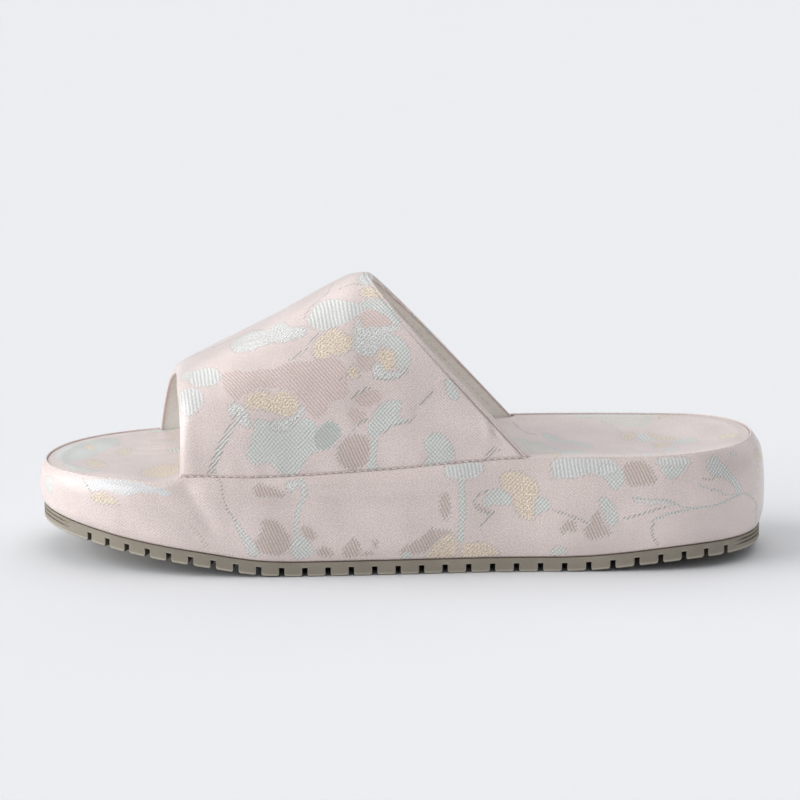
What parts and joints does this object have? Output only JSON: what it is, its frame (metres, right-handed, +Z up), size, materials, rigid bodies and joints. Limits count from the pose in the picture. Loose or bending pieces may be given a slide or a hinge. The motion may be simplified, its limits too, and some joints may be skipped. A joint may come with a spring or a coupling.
{
  "type": "slide sandal",
  "caption": "Open-toe slide sandal: one wide padded band over the instep on a thick cloth-wrapped platform with a notched outsole.",
  "frame": {"origin": "middle of the footprint's bounding box, on the ground under the sole", "axes": "+X from the heel to the toe, +Y to the little-toe side of this left shoe, +Z up"},
  "size_m": [0.268, 0.1006, 0.1023],
  "materials": {
    "outsole_rubber": "matte moulded rubber, taupe",
    "platform_cloth": "satin jacquard, blush pink with a woven floral pattern",
    "footbed_cloth": "satin jacquard, blush pink, lightly padded",
    "band_cloth": "satin jacquard, blush pink with a woven floral pattern, cream lining"
  },
  "bodies": {
    "root": {"outsole": "outsole_rubber", "platform": "platform_cloth", "footbed": "footbed_cloth", "band": "band_cloth"}
  },
  "joints": []
}
